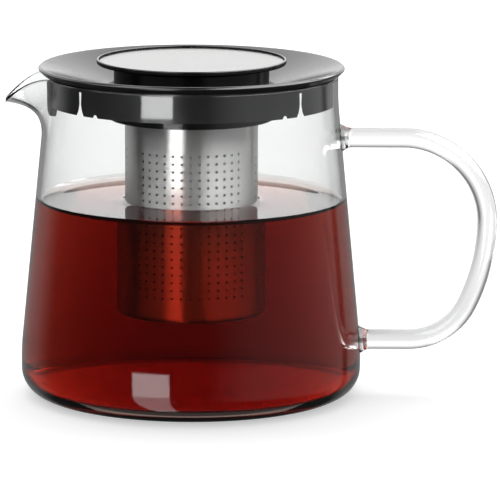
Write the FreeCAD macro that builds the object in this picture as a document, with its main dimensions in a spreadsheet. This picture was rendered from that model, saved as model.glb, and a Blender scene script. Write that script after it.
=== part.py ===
import FreeCAD, Part
import math
import os

import Sketcher
from FreeCAD import Placement, Rotation, Vector

# Glass teapot with a lift-off lid and a hanging steel strainer. Millimetres.
# Origin on the jug's axis, on the table; +Z up, +X towards the handle, spout towards -X.

doc = FreeCAD.newDocument("teapot")

# Driving sizes, each written once.
sizes = {
    # Jug
    "jug_height": 143.6,             # table to rim
    "jug_foot_radius": 75.6,         # outside, where the wall stands upright above the base corner
    "jug_rim_radius": 65.0,          # outside, upright neck under the lid
    "foot_height": 21.6,             # where the upright foot turns into the cone
    "neck_length": 12.1,             # rim to where the upright neck turns into the cone
    "base_corner": 12.0,             # outer round between wall and base
    "foot_ease": 100.0,              # gentle round from foot to cone
    "neck_ease": 120.0,              # gentle round from cone to neck
    "jug_wall": 2.0,
    "jug_floor": 4.0,
    "rim_round": 0.8,                # melted edge
    # Pulled spout
    "spout_length": 19.1,            # outside of the neck to the sharp end that the tip's round takes off
    "spout_bite": 1.0,               # how far inside the neck the pull starts
    "spout_chord": 8.0,              # neck to the hidden inner side of the sections
    "spout_depth": 30.0,             # rim to the lower end of the pull
    "spout_drop": 11.0,              # how far the tip lies below the rim
    "spout_low_half_width": 16.0,
    "spout_half_width": 20.0,
    "spout_low_round": 9.0,
    "spout_tip_round": 3.5,
    "spout_slope_start": 2.5,        # inside the neck, where the rim starts to slope down to the tip
    "lip_wall": 1.3,
    # Handle rod
    "rod_diameter": 8.8,
    "handle_drop": 28.3,             # rim to the upper run
    "handle_bottom": 24.2,           # table to the lower run
    "handle_straight": 29.0,         # outside of the neck to the end of the straight upper run
    "handle_upper_bend": 37.6,
    "handle_back_bend": 85.0,
    "handle_lower_bend": 29.0,
    "weld_diameter": 12.4,
    "weld_length": 4.2,
    # Lid cover
    "lid_gap": 0.3,                  # lid above the glass rim
    "lid_overhang": 3.0,             # lid's edge past the outside of the neck
    "lid_edge_height": 2.3,          # seat to the outermost line of the edge
    "lid_edge_slant": 2.4,           # how far the edge leans out from the seat
    "crest_height": 3.6,             # seat to the crest of the edge
    "crest_inset": 1.2,
    "dish_depth": 9.2,               # crest to the floor of the finger dish
    "dish_radius": 37.5,             # flat floor of the dish
    "cover_wall": 2.2,
    "cover_hole_radius": 28.0,
    "seat_width": 5.6,               # flat ring under the edge
    # Skirt
    "neck_clearance": 0.3,           # skirt to the glass
    "skirt_wall": 1.8,
    "skirt_depth": 13.1,             # seat to the lower edge
    "skirt_tab_depth": 19.4,         # seat to the end of the tab behind the spout
    "tab_half_width": 19.4,
    "tab_taper": 4.2,
    "slit_offset": 49.4,             # axis to the slits beside the spring fingers
    "slit_width": 1.0,
    "slit_mouth": 2.6,
    "slit_top": 2.6,                 # seat to the upper end of a slit
    "slit_pinch": 9.3,               # seat to the narrow place
    "notch_offset": 42.5,
    "notch_width": 2.0,
    "notch_height": 1.3,
    # Bayonet
    "sleeve_wall": 2.3,
    "sleeve_depth": 8.2,             # under the cover's floor
    "turn_gap": 0.3,                 # collar to sleeve
    "twist_angle": 40.0,
    "lug_angle": 12.0,
    "lug_reach": 2.0,
    "lug_height": 2.4,
    "lug_count": 3,
    "slot_play": 0.35,
    "slot_roof": 2.4,                # cover's floor to the top of the slots
    # Knob
    "knob_radius": 42.0,
    "knob_edge": 2.1,
    "knob_top": 6.5,                 # seat to the lip of the knob
    "knob_lip": 1.0,
    "plate_recess": 0.8,
    "plate_thickness": 0.6,
    "plate_play": 0.1,
    "knob_neck_radius": 34.4,
    "knob_wall": 1.8,
    "knob_floor": 1.4,
    "plug_play": 0.1,
    "plug_depth": 1.6,               # below the cover's underside
    # Strainer
    "collar_flare": 6.8,             # strainer tube to the outside of the collar
    "collar_depth": 12.0,            # cover's floor to the lower edge of the collar
    "collar_wall": 1.8,
    "collar_head": 0.5,              # collar below the cover's underside
    "strainer_radius": 29.5,
    "strainer_bottom": 36.7,         # table to the underside of the strainer
    "sheet": 0.5,                    # steel thickness
    "flange_width": 2.0,
    "strainer_fit": 0.05,
    "base_depth": 3.2,               # height of the welded-on base cup
    "base_round": 2.4,
    # Perforation, in patches round the tube
    "hole_width": 1.5,
    "hole_rows": 10,
    "hole_row_pitch": 7.0,
    "hole_columns": 7,
    "hole_column_angle": 15.0,
    "hole_patches": 3,
    "hole_patch_turn": -90.0,        # direction of the first patch, counted from +X
    "lowest_hole": 12.0,             # underside of the strainer to the lowest row
}

sheet = doc.addObject("Spreadsheet::Sheet", "Sizes")
for row, (name, number) in enumerate(sizes.items(), 1):
    sheet.set(f"A{row}", name)
    sheet.set(f"B{row}", str(number))
    sheet.setAlias(f"B{row}", name)
doc.recompute()


class Size:
    # A number together with the sheet expression it comes from.
    def __init__(self, value, text):
        self.value = value
        self.text = text

    def join(self, other, sign, value):
        return Size(value, f"({self.text} {sign} {text_of(other)})")

    def __add__(self, other):
        return self.join(other, "+", self.value + value_of(other))

    def __sub__(self, other):
        return self.join(other, "-", self.value - value_of(other))

    def __mul__(self, other):
        return self.join(other, "*", self.value * value_of(other))

    def __truediv__(self, other):
        return self.join(other, "/", self.value / value_of(other))

    def __neg__(self):
        return Size(-self.value, f"(-1 * {self.text})")


def value_of(item):
    return item.value if isinstance(item, Size) else float(item)


def text_of(item):
    return item.text if isinstance(item, Size) else str(item)


def size(name):
    return Size(float(sheet.get(name)), f"Sizes.{name}")


def root_of(item):
    return Size(math.sqrt(item.value), f"sqrt({item.text})")


def new_body(label):
    body = doc.addObject("PartDesign::Body", label)
    body.Label = label
    return body


def new_sketch(body, name, role):
    sketch = body.newObject("Sketcher::SketchObject", name)
    plane = next(item for item in body.Origin.OriginFeatures if item.Role == role)
    sketch.AttachmentSupport = [(plane, "")]
    sketch.MapMode = "FlatFace"
    return sketch


def tie(sketch, kind, axis, edge, end, distance):
    # Holds one end of an edge at a named distance from the sketch's origin.
    if value_of(distance) == 0:
        sketch.addConstraint(Sketcher.Constraint("PointOnObject", edge, end, axis))
        return
    number = sketch.addConstraint(Sketcher.Constraint(kind, -1, 1, edge, end, value_of(distance)))
    sketch.setExpression(f"Constraints[{number}]", text_of(distance))


def tie_point(sketch, edge, end, across, up):
    tie(sketch, "DistanceX", -2, edge, end, across)
    tie(sketch, "DistanceY", -1, edge, end, up)


def unit(vector):
    return vector / vector.Length


def outline(body, name, role, *loops):
    # Closed loops of straight edges. A corner is (across, up), or (across, up, radius) where it is
    # rounded; every corner and every radius is tied to the sheet.
    sketch = new_sketch(body, name, role)
    for corners in loops:
        add_loop(sketch, corners)
    doc.recompute()
    return sketch


def add_loop(sketch, corners):
    count = len(corners)
    points = [Vector(value_of(corner[0]), value_of(corner[1]), 0) for corner in corners]
    radii = [value_of(corner[2]) if len(corner) == 3 else 0 for corner in corners]
    # Tangent length of each rounded corner, and the line ends that it leaves.
    shy = []
    for i in range(count):
        back = unit(points[i - 1] - points[i])
        ahead = unit(points[(i + 1) % count] - points[i])
        shy.append(radii[i] / math.tan(back.getAngle(ahead) / 2))
    lines = []
    for i in range(count):
        follower = (i + 1) % count
        ahead = unit(points[follower] - points[i])
        line = Part.LineSegment(points[i] + ahead * shy[i], points[follower] - ahead * shy[follower])
        lines.append(sketch.addGeometry(line, False))
    for i, corner in enumerate(corners):
        before, after = lines[i - 1], lines[i]
        if radii[i] == 0:
            sketch.addConstraint(Sketcher.Constraint("Coincident", before, 2, after, 1))
            tie_point(sketch, after, 1, corner[0], corner[1])
        else:
            round_corner(sketch, before, after, corner, radii[i], shy[i])


def round_corner(sketch, before, after, corner, radius, shy):
    # An arc between two lines whose meeting point is held by a construction point.
    tip = Vector(value_of(corner[0]), value_of(corner[1]), 0)
    inward = unit(sketch.Geometry[before].StartPoint - tip)
    outward = unit(sketch.Geometry[after].EndPoint - tip)
    centre = tip + unit(inward + outward) * math.hypot(radius, shy)
    first = tip + inward * shy - centre
    last = tip + outward * shy - centre
    left_turn = inward.cross(outward).z < 0
    start, stop = (first, last) if left_turn else (last, first)
    circle = Part.Circle(centre, Vector(0, 0, 1), radius)
    angles = math.atan2(start.y, start.x), math.atan2(stop.y, stop.x)
    arc = sketch.addGeometry(Part.ArcOfCircle(circle, *angles), False)
    sketch.addConstraint(Sketcher.Constraint("Tangent", before, 2, arc, 1 if left_turn else 2))
    sketch.addConstraint(Sketcher.Constraint("Tangent", arc, 2 if left_turn else 1, after, 1))
    number = sketch.addConstraint(Sketcher.Constraint("Radius", arc, radius))
    sketch.setExpression(f"Constraints[{number}]", text_of(corner[2]))
    point = sketch.addGeometry(Part.Point(tip), True)
    tie_point(sketch, point, 1, corner[0], corner[1])
    for line in (before, after):
        sketch.addConstraint(Sketcher.Constraint("PointOnObject", point, 1, line))


def box_corners(left, right, low, high):
    return [(left, low), (right, low), (right, high), (left, high)]


def turned(body, name, corners):
    # A solid of revolution about the upright axis, from corners given as (radius, height).
    sketch = outline(body, name + "_profile", "XZ_Plane", corners)
    solid = body.newObject("PartDesign::Revolution", name)
    solid.Profile = sketch
    solid.ReferenceAxis = (sketch, ["V_Axis"])
    solid.Angle = 360
    sketch.Visibility = False
    doc.recompute()
    return solid


def part_turned(body, kind, name, corners, angle, start):
    # Part of a turn, centred on a direction counted from +X; an added lug or a cut slot.
    sketch = outline(body, name + "_profile", "XZ_Plane", corners)
    sketch.AttachmentOffset = Placement(Vector(0, 0, 0), Rotation(Vector(0, 1, 0), value_of(start)))
    if isinstance(start, Size):
        sketch.setExpression(".AttachmentOffset.Rotation.Angle", start.text)
    feature = body.newObject(kind, name)
    feature.Profile = sketch
    feature.ReferenceAxis = (sketch, ["V_Axis"])
    feature.Midplane = True
    feature.setExpression("Angle", text_of(angle))
    doc.recompute()
    return feature


def axis_of(body):
    return next(item for item in body.Origin.OriginFeatures if item.Role == "Z_Axis")


def around_axis(body, name, feature, count):
    pattern = body.newObject("PartDesign::PolarPattern", name)
    pattern.Originals = [feature]
    pattern.Axis = (axis_of(body), [""])
    pattern.Angle = 360
    pattern.setExpression("Occurrences", text_of(count))
    body.Tip = pattern
    doc.recompute()
    return pattern


def pocket(body, name, sketch, reach, reverse):
    before = body.Tip.Shape.Volume
    cut = body.newObject("PartDesign::Pocket", name)
    cut.Profile = sketch
    cut.Reversed = reverse
    cut.setExpression("Length", text_of(reach))
    doc.recompute()
    if not cut.Shape.Volume < before:
        raise RuntimeError(f"{name} removed nothing")
    return cut


# Heights and radii that several pieces share.
rim = size("jug_height")
neck_height = rim - size("neck_length")
seat = rim + size("lid_gap")
crest = seat + size("crest_height")
dish_floor = crest - size("dish_depth")
cover_underside = dish_floor - size("cover_wall")
wall = size("jug_wall")
neck = size("jug_rim_radius")
neck_bore = neck - wall
foot_bore = size("jug_foot_radius") - wall
edge_radius = neck + size("lid_overhang")
tube_outer = size("strainer_radius")
collar_outer = tube_outer + size("collar_flare")


# Jug: blown body, hollow, with a spout pulled out of the rim.
jug_blank = new_body("jug_blank")
turned(jug_blank, "jug_outside_form", [
    (0, 0),
    (size("jug_foot_radius"), 0, size("base_corner")),
    (size("jug_foot_radius"), size("foot_height"), size("foot_ease")),
    (neck, neck_height, size("neck_ease")),
    (neck, rim, size("rim_round")),
    (0, rim),
])
jug_cavity = new_body("jug_cavity")
turned(jug_cavity, "jug_inside_form", [
    (0, size("jug_floor")),
    (foot_bore, size("jug_floor"), size("base_corner") - wall),
    (foot_bore, size("foot_height"), size("foot_ease")),
    (neck_bore, neck_height, size("neck_ease")),
    (neck_bore, rim, size("rim_round")),
    (edge_radius, rim),
    (edge_radius, crest),
    (0, crest),
])


# Spout: a lip pulled out of the neck, lofted through level sections with a rounded nose.
lip_shares = (0, 0.3, 0.55, 0.8, 1)    # sections from the lower end of the pull to its tip


def between(first, last, share):
    return first * (1 - share) + last * share


def lip_section(body, name, height, nose, half_width, nose_round, trim):
    # A triangle from a chord inside the neck to the nose; trim moves its sides inwards and up.
    chord = neck - size("spout_chord")
    length = nose - chord
    slant = root_of(length * length + half_width * half_width)
    tip = nose - slant / half_width * trim
    side = half_width - slant / length * trim
    sketch = outline(body, name, "XY_Plane", [(-chord, -side), (-chord, side), (-tip, 0, nose_round)])
    sketch.AttachmentOffset = Placement(Vector(0, 0, (height + trim).value), Rotation())
    sketch.setExpression(".AttachmentOffset.Base.z", (height + trim).text)
    return sketch


def lip_loft(label, trim):
    body = new_body(label)
    sections = []
    for number, share in enumerate(lip_shares):
        height = rim - size("spout_depth") * (1 - share) - size("spout_drop") * share ** 2
        nose = neck - size("spout_bite") * (1 - share) + size("spout_length") * share ** 2
        half_width = between(size("spout_low_half_width"), size("spout_half_width"), share)
        nose_round = between(size("spout_low_round"), size("spout_tip_round"), share)
        sections.append(lip_section(body, f"{label}_{number}", height, nose, half_width, nose_round, trim))
    # The last section lies above the rim, where the sloping cut takes the lip off.
    nose = neck + size("spout_length") + size("spout_drop")
    sections.append(lip_section(body, f"{label}_top", rim + size("crest_height"), nose,
                                size("spout_half_width"), size("spout_tip_round"), trim))
    loft = body.newObject("PartDesign::AdditiveLoft", label + "_loft")
    loft.Profile = sections[0]
    loft.Sections = [(section, [""]) for section in sections[1:]]
    doc.recompute()
    return body


def boolean(kind, label, base, tool):
    result = doc.addObject(kind, label)
    result.Base = base
    result.Tool = tool
    result.Label = label
    doc.recompute()
    return result


lip_outside = lip_loft("lip_outside", 0)
lip_channel = lip_loft("lip_channel", size("lip_wall"))
lip_trim = new_body("lip_trim")
trim_start = neck - size("spout_slope_start")
trim_end = neck + size("spout_length") * 2
trim_slope = size("spout_drop") / (size("spout_length") + size("spout_slope_start"))
trim_low = rim - trim_slope * (trim_end - trim_start)
trim_high = crest + size("spout_drop")
trim_profile = outline(lip_trim, "lip_trim_profile", "XZ_Plane", [
    (-trim_start, rim), (-trim_start, trim_high), (-trim_end, trim_high), (-trim_end, trim_low)])
trim_pad = lip_trim.newObject("PartDesign::Pad", "lip_trim_pad")
trim_pad.Profile = trim_profile
trim_pad.Midplane = True
trim_pad.setExpression("Length", text_of(size("spout_half_width") * 4))
doc.recompute()
jug_outside = boolean("Part::Fuse", "jug_outside", jug_blank, lip_outside)
jug_hollow = boolean("Part::Fuse", "jug_hollow", jug_cavity, lip_channel)
jug_shell = boolean("Part::Cut", "jug_shell", jug_outside, jug_hollow)
glass_jug = boolean("Part::Cut", "glass_jug", jug_shell, lip_trim)


# Handle: one bent glass rod, its ends spread where they are melted onto the wall.
handle_top = rim - size("handle_drop")


def rod_path(body):
    top, bottom = handle_top, size("handle_bottom")
    run = neck + size("handle_straight")
    upper = size("handle_upper_bend")
    back = size("handle_back_bend")
    lower = size("handle_lower_bend")
    middle = top - upper
    sweep = math.asin((middle - lower - bottom).value / (back - lower).value)
    back_x = (run + upper - back).value
    low_x = back_x + (back - lower).value * math.cos(sweep)
    low_z = (bottom + lower).value
    inside = neck_bore.value
    sketch = new_sketch(body, "rod_path", "XZ_Plane")

    def arc(x, z, radius, start, stop):
        circle = Part.Circle(Vector(x, z, 0), Vector(0, 0, 1), radius.value)
        return sketch.addGeometry(Part.ArcOfCircle(circle, start, stop), False)

    def straight(x, z, x_end):
        return sketch.addGeometry(Part.LineSegment(Vector(x, z, 0), Vector(x_end, z, 0)), False)

    straight(inside, top.value, run.value)
    arc(run.value, middle.value, upper, 0, math.pi / 2)
    arc(back_x, middle.value, back, -sweep, 0)
    arc(low_x, low_z, lower, -math.pi / 2, -sweep)
    straight(low_x, bottom.value, inside)
    # Each arc runs anticlockwise, so its end meets the piece above it and its start the piece below.
    for above, above_end, below, below_end in ((0, 2, 1, 2), (1, 1, 2, 2), (2, 1, 3, 2), (3, 1, 4, 1)):
        sketch.addConstraint(Sketcher.Constraint("Tangent", above, above_end, below, below_end))
    for number, radius in ((1, upper), (2, back), (3, lower)):
        place = sketch.addConstraint(Sketcher.Constraint("Radius", number, radius.value))
        sketch.setExpression(f"Constraints[{place}]", radius.text)
    tie_point(sketch, 0, 1, neck_bore, top)
    tie_point(sketch, 0, 2, run, top)
    tie(sketch, "DistanceY", -1, 1, 1, middle)
    tie_point(sketch, 4, 2, neck_bore, bottom)
    sketch.addConstraint(Sketcher.Constraint("Horizontal", 4))
    doc.recompute()
    return sketch


def wall_radius(height):
    # Outside of the wall at a height, on the upright foot, the cone or the upright neck.
    climb = (height - size("foot_height")) / (neck_height - size("foot_height"))
    share = Size(min(max(climb.value, 0), 1), f"min(max({climb.text}; 0); 1)")
    return size("jug_foot_radius") + (neck - size("jug_foot_radius")) * share


def weld_cone(name, height):
    # A melted foot that spreads from the rod to the wall.
    start = wall_radius(height) - wall
    cone = doc.addObject("Part::Cone", name)
    cone.setExpression("Radius1", text_of(size("weld_diameter") / 2))
    cone.setExpression("Radius2", text_of(size("rod_diameter") / 2))
    cone.setExpression("Height", text_of(size("weld_length") + wall))
    cone.Placement = Placement(Vector(start.value, 0, height.value), Rotation(Vector(0, 1, 0), 90))
    cone.setExpression(".Placement.Base.x", start.text)
    cone.setExpression(".Placement.Base.z", height.text)
    return cone


rod_body = new_body("handle_rod")
path = rod_path(rod_body)
section = new_sketch(rod_body, "rod_section", "YZ_Plane")
section.AttachmentOffset = Placement(Vector(0, handle_top.value, neck_bore.value), Rotation())
section.setExpression(".AttachmentOffset.Base.y", handle_top.text)
section.setExpression(".AttachmentOffset.Base.z", neck_bore.text)
rod_radius = size("rod_diameter") / 2
section.addGeometry(Part.Circle(Vector(0, 0, 0), Vector(0, 0, 1), rod_radius.value), False)
section.addConstraint(Sketcher.Constraint("Coincident", 0, 3, -1, 1))
section.addConstraint(Sketcher.Constraint("Radius", 0, rod_radius.value))
section.setExpression("Constraints[1]", rod_radius.text)
doc.recompute()
rod = rod_body.newObject("PartDesign::AdditivePipe", "rod")
rod.Profile = section
rod.Spine = (path, [f"Edge{i}" for i in range(1, 6)])
doc.recompute()
upper_weld = weld_cone("upper_weld", handle_top)
lower_weld = weld_cone("lower_weld", size("handle_bottom"))
handle_blank = doc.addObject("Part::MultiFuse", "handle_blank")
handle_blank.Shapes = [rod_body, upper_weld, lower_weld]
doc.recompute()
glass_handle = boolean("Part::Cut", "glass_handle", handle_blank, jug_blank)


# Lid cover: edge, finger dish and floor in one moulding, with the bayonet sleeve hanging below.
lid_cover = new_body("lid_cover")
crest_radius = edge_radius - size("crest_inset")
seat_outer = edge_radius - size("lid_edge_slant")
seat_inner = seat_outer - size("seat_width")
sleeve_bore = collar_outer + size("turn_gap")
sleeve_outer = sleeve_bore + size("sleeve_wall")
sleeve_bottom = cover_underside - size("sleeve_depth")
turned(lid_cover, "cover", [
    (size("cover_hole_radius"), cover_underside),
    (sleeve_bore, cover_underside),
    (sleeve_bore, sleeve_bottom),
    (sleeve_outer, sleeve_bottom),
    (sleeve_outer, cover_underside),
    (seat_inner, seat),
    (seat_outer, seat),
    (edge_radius, seat + size("lid_edge_height")),
    (crest_radius, crest),
    (size("dish_radius"), dish_floor),
    (size("cover_hole_radius"), dish_floor),
])
slot_top = cover_underside - size("slot_roof")
slot_bottom = slot_top - size("lug_height") - size("slot_play") * 2
play_angle = size("slot_play") / collar_outer * 360 / math.pi
slot_side = (sleeve_bore - size("turn_gap"), sleeve_outer + size("turn_gap"))
lock_slot = part_turned(
    lid_cover, "PartDesign::Groove", "lock_slot",
    box_corners(*slot_side, slot_bottom, slot_top),
    size("twist_angle") + size("lug_angle") + play_angle, size("twist_angle") / 2)
around_axis(lid_cover, "lock_slots", lock_slot, size("lug_count"))
entry_slot = part_turned(
    lid_cover, "PartDesign::Groove", "entry_slot",
    box_corners(*slot_side, sleeve_bottom - size("turn_gap"), slot_top),
    size("lug_angle") + play_angle, size("twist_angle"))
around_axis(lid_cover, "entry_slots", entry_slot, size("lug_count"))


# Skirt: ring inside the neck, slit beside the spring fingers, longer behind the spout.
lid_skirt = new_body("lid_skirt")
skirt_outer = neck_bore - size("neck_clearance")
skirt_bottom = seat - size("skirt_depth")
tab_bottom = seat - size("skirt_tab_depth")
turned(lid_skirt, "skirt", [
    (skirt_outer - size("skirt_wall"), tab_bottom),
    (skirt_outer, tab_bottom),
    (skirt_outer, seat),
    (skirt_outer - size("skirt_wall"), seat),
])
clear_of = skirt_outer + size("skirt_wall")
below = tab_bottom - size("skirt_wall")
handle_side = outline(lid_skirt, "handle_side_trim", "YZ_Plane",
                      box_corners(-clear_of, clear_of, below, skirt_bottom))
pocket(lid_skirt, "handle_side_cut", handle_side, clear_of, True)
tab_side = size("tab_half_width")
tab_end = tab_side - size("tab_taper")
spout_side = outline(
    lid_skirt, "spout_side_trim", "YZ_Plane",
    [(-clear_of, below), (-tab_end, below), (-tab_end, tab_bottom), (-tab_side, skirt_bottom),
     (-clear_of, skirt_bottom)],
    [(tab_end, below), (clear_of, below), (clear_of, skirt_bottom), (tab_side, skirt_bottom),
     (tab_end, tab_bottom)])
pocket(lid_skirt, "spout_side_cut", spout_side, clear_of, False)


def slit(side):
    middle = size("slit_offset") * side
    half = size("slit_width") / 2
    mouth = size("slit_mouth") / 2
    top = seat - size("slit_top")
    pinch = seat - size("slit_pinch")
    return [(middle - half, top), (middle - half / 2, pinch), (middle - mouth, skirt_bottom),
            (middle - mouth, below), (middle + mouth, below), (middle + mouth, skirt_bottom),
            (middle + half / 2, pinch), (middle + half, top)]


def notch(side):
    middle = size("notch_offset") * side
    half = size("notch_width") / 2
    return [(middle - half, below), (middle + half, below), (middle + half, skirt_bottom),
            (middle, skirt_bottom + size("notch_height")), (middle - half, skirt_bottom)]


openings = outline(lid_skirt, "slits_and_notches", "XZ_Plane", slit(-1), notch(-1), notch(1), slit(1))
slits = pocket(lid_skirt, "slits", openings, clear_of * 2, False)
slits.Midplane = True
doc.recompute()


# Knob: a disc on a hollow neck that plugs into the cover, with a steel plate laid into its top.
knob_cap = new_body("knob_cap")
knob_top = seat + size("knob_top")
plate_radius = size("knob_radius") - size("knob_lip")
plate_top = knob_top - size("plate_recess")
plate_bottom = plate_top - size("plate_thickness")
knob_underside = plate_bottom - size("knob_floor")
knob_edge_bottom = knob_top - size("knob_edge")
neck_outer = size("knob_neck_radius")
neck_inner = neck_outer - size("knob_wall")
plug_outer = size("cover_hole_radius") - size("plug_play")
plug_inner = plug_outer - size("knob_wall")
plug_bottom = cover_underside - size("plug_depth")
turned(knob_cap, "knob", [
    (0, knob_underside),
    (neck_inner, knob_underside),
    (neck_inner, dish_floor + size("knob_wall")),
    (plug_inner, dish_floor + size("knob_wall")),
    (plug_inner, plug_bottom),
    (plug_outer, plug_bottom),
    (plug_outer, dish_floor),
    (neck_outer, dish_floor),
    (neck_outer, knob_underside),
    (size("knob_radius"), knob_edge_bottom),
    (size("knob_radius"), knob_top),
    (plate_radius, knob_top),
    (plate_radius, plate_bottom),
    (0, plate_bottom),
])

knob_plate = new_body("knob_plate")
turned(knob_plate, "plate", [
    (0, plate_bottom),
    (plate_radius - size("plate_play"), plate_bottom),
    (plate_radius - size("plate_play"), plate_top),
    (0, plate_top),
])


# Strainer: moulded collar with bayonet lugs, steel tube hung in it by a flange, base cup welded on.
strainer_collar = new_body("strainer_collar")
collar_top = cover_underside - size("collar_head")
collar_bottom = cover_underside - size("collar_depth")
collar_bore = tube_outer + size("strainer_fit")
flange_top = collar_top - size("collar_head")
flange_seat = flange_top - size("sheet")
flange_outer = tube_outer + size("flange_width")
web_bottom = flange_seat - size("collar_wall")
turned(strainer_collar, "collar", [
    (collar_bore, web_bottom - size("collar_wall") * 2),
    (collar_bore + size("collar_wall"), web_bottom - size("collar_wall") * 2),
    (collar_bore + size("collar_wall"), web_bottom),
    (collar_outer - size("collar_wall"), web_bottom),
    (collar_outer - size("collar_wall"), collar_bottom),
    (collar_outer, collar_bottom),
    (collar_outer, collar_top),
    (flange_outer + size("strainer_fit"), collar_top),
    (flange_outer + size("strainer_fit"), flange_seat),
    (collar_bore, flange_seat),
])
lug_top = slot_top - size("slot_play")
lug = part_turned(
    strainer_collar, "PartDesign::Revolution", "lug",
    box_corners(collar_outer - size("collar_wall") / 2, collar_outer + size("lug_reach"),
                lug_top - size("lug_height"), lug_top),
    size("lug_angle"), 0)
around_axis(strainer_collar, "lugs", lug, size("lug_count"))

tube_blank = new_body("tube_blank")
tube_inner = tube_outer - size("sheet")
tube_bottom = size("strainer_bottom") + size("base_depth")
turned(tube_blank, "tube", [
    (tube_inner, tube_bottom),
    (tube_outer, tube_bottom),
    (tube_outer, flange_seat),
    (flange_outer, flange_seat),
    (flange_outer, flange_top),
    (tube_inner, flange_top),
])

# Punch for the perforation: level discs crossed by upright blades leave one pin for each hole.
half_hole = size("hole_width") / 2
punch_reach = tube_outer + size("hole_width")
punch_core = size("hole_width") * 2
lowest = size("strainer_bottom") + size("lowest_hole")
row_climb = size("hole_row_pitch") * (size("hole_rows") - 1)
punch_low = lowest - half_hole
punch_high = lowest + row_climb + half_hole
punch_rows = new_body("punch_rows")
turned(punch_rows, "rows_core", box_corners(0, punch_core, punch_low, punch_high))
first_row = turned(punch_rows, "first_row", box_corners(0, punch_reach, punch_low, lowest + half_hole))
rows = punch_rows.newObject("PartDesign::LinearPattern", "rows")
rows.Originals = [first_row]
rows.Direction = (axis_of(punch_rows), [""])
rows.setExpression("Length", row_climb.text)
rows.setExpression("Occurrences", size("hole_rows").text)
punch_rows.Tip = rows
doc.recompute()

punch_columns = new_body("punch_columns")
turned(punch_columns, "columns_core", box_corners(0, punch_core, punch_low, punch_high))
blade_profile = outline(punch_columns, "blade_profile", "XY_Plane",
                        box_corners(0, punch_reach, -half_hole, half_hole))
column_sweep = size("hole_column_angle") * (size("hole_columns") - 1)
blade_turn = size("hole_patch_turn") - column_sweep / 2
blade_profile.AttachmentOffset = Placement(Vector(0, 0, punch_low.value),
                                           Rotation(Vector(0, 0, 1), blade_turn.value))
blade_profile.setExpression(".AttachmentOffset.Base.z", punch_low.text)
blade_profile.setExpression(".AttachmentOffset.Rotation.Angle", blade_turn.text)
blade = punch_columns.newObject("PartDesign::Pad", "blade")
blade.Profile = blade_profile
blade.setExpression("Length", (punch_high - punch_low).text)
doc.recompute()
columns = doc.addObject("PartDesign::PolarPattern", "columns")
columns.Axis = (axis_of(punch_columns), [""])
columns.setExpression("Angle", column_sweep.text)
columns.setExpression("Occurrences", size("hole_columns").text)
patches = doc.addObject("PartDesign::PolarPattern", "patches")
patches.Axis = (axis_of(punch_columns), [""])
patches.Angle = 360
patches.setExpression("Occurrences", size("hole_patches").text)
blades = punch_columns.newObject("PartDesign::MultiTransform", "blades")
blades.Originals = [blade]
blades.Transformations = [columns, patches]
punch_columns.Tip = blades
doc.recompute()

punch = boolean("Part::Common", "punch", punch_rows, punch_columns)
strainer_tube = boolean("Part::Cut", "strainer_tube", tube_blank, punch)

strainer_base = new_body("strainer_base")
base_floor = size("strainer_bottom") + size("sheet")
turned(strainer_base, "cup", [
    (0, size("strainer_bottom")),
    (tube_outer, size("strainer_bottom"), size("base_round")),
    (tube_outer, tube_bottom),
    (tube_inner, tube_bottom),
    (tube_inner, base_floor, size("base_round") - size("sheet")),
    (0, base_floor),
])


pieces = [glass_jug, glass_handle, lid_cover, lid_skirt, knob_cap, knob_plate,
          strainer_collar, strainer_tube, strainer_base]
doc.recompute()
for item in doc.Objects:
    if {"Invalid", "Error"} & set(item.State):
        raise RuntimeError(f"{item.Label} failed: {item.State}")
for piece in pieces:
    if piece.Shape.isNull() or not piece.Shape.isValid() or len(piece.Shape.Solids) != 1:
        raise RuntimeError(f"{piece.Label} is not one sound solid")

os.makedirs("parts", exist_ok=True)
for piece in pieces:
    piece.Shape.exportStep(f"parts/{piece.Label}.step")
    print(piece.Label, round(piece.Shape.Volume / 1000, 2), "cm3")
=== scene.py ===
import math
import bpy
from mathutils import Matrix


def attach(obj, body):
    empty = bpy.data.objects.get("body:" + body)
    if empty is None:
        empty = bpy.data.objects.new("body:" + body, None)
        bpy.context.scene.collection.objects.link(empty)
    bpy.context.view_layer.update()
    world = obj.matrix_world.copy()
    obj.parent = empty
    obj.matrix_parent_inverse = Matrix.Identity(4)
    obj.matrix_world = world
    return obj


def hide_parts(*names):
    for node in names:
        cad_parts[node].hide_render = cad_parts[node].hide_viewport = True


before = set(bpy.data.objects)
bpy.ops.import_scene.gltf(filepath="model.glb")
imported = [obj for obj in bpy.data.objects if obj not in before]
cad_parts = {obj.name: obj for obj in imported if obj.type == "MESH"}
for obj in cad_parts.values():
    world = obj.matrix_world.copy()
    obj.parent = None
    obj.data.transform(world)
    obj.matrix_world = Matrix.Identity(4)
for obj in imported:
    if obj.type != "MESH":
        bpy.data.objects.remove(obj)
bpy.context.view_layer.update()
scene = bpy.context.scene
print("frame loaded")


# mesh helpers, sizes in millimetres and meshes in metres

onAxis = 1e-6   # a smaller radius counts as a point on the axis


def smoothMesh(mesh, sharpAngle):
    mesh.shade_smooth()
    mesh.set_sharp_from_angle(angle=math.radians(sharpAngle))


def addPiece(name, points, faces, material, sharpAngle=35):
    mesh = bpy.data.meshes.new(name)
    mesh.from_pydata([(x / 1000, y / 1000, z / 1000) for x, y, z in points], [], faces)
    mesh.validate()
    smoothMesh(mesh, sharpAngle)
    mesh.materials.append(material)
    piece = bpy.data.objects.new(name, mesh)
    scene.collection.objects.link(piece)
    return piece


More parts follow.
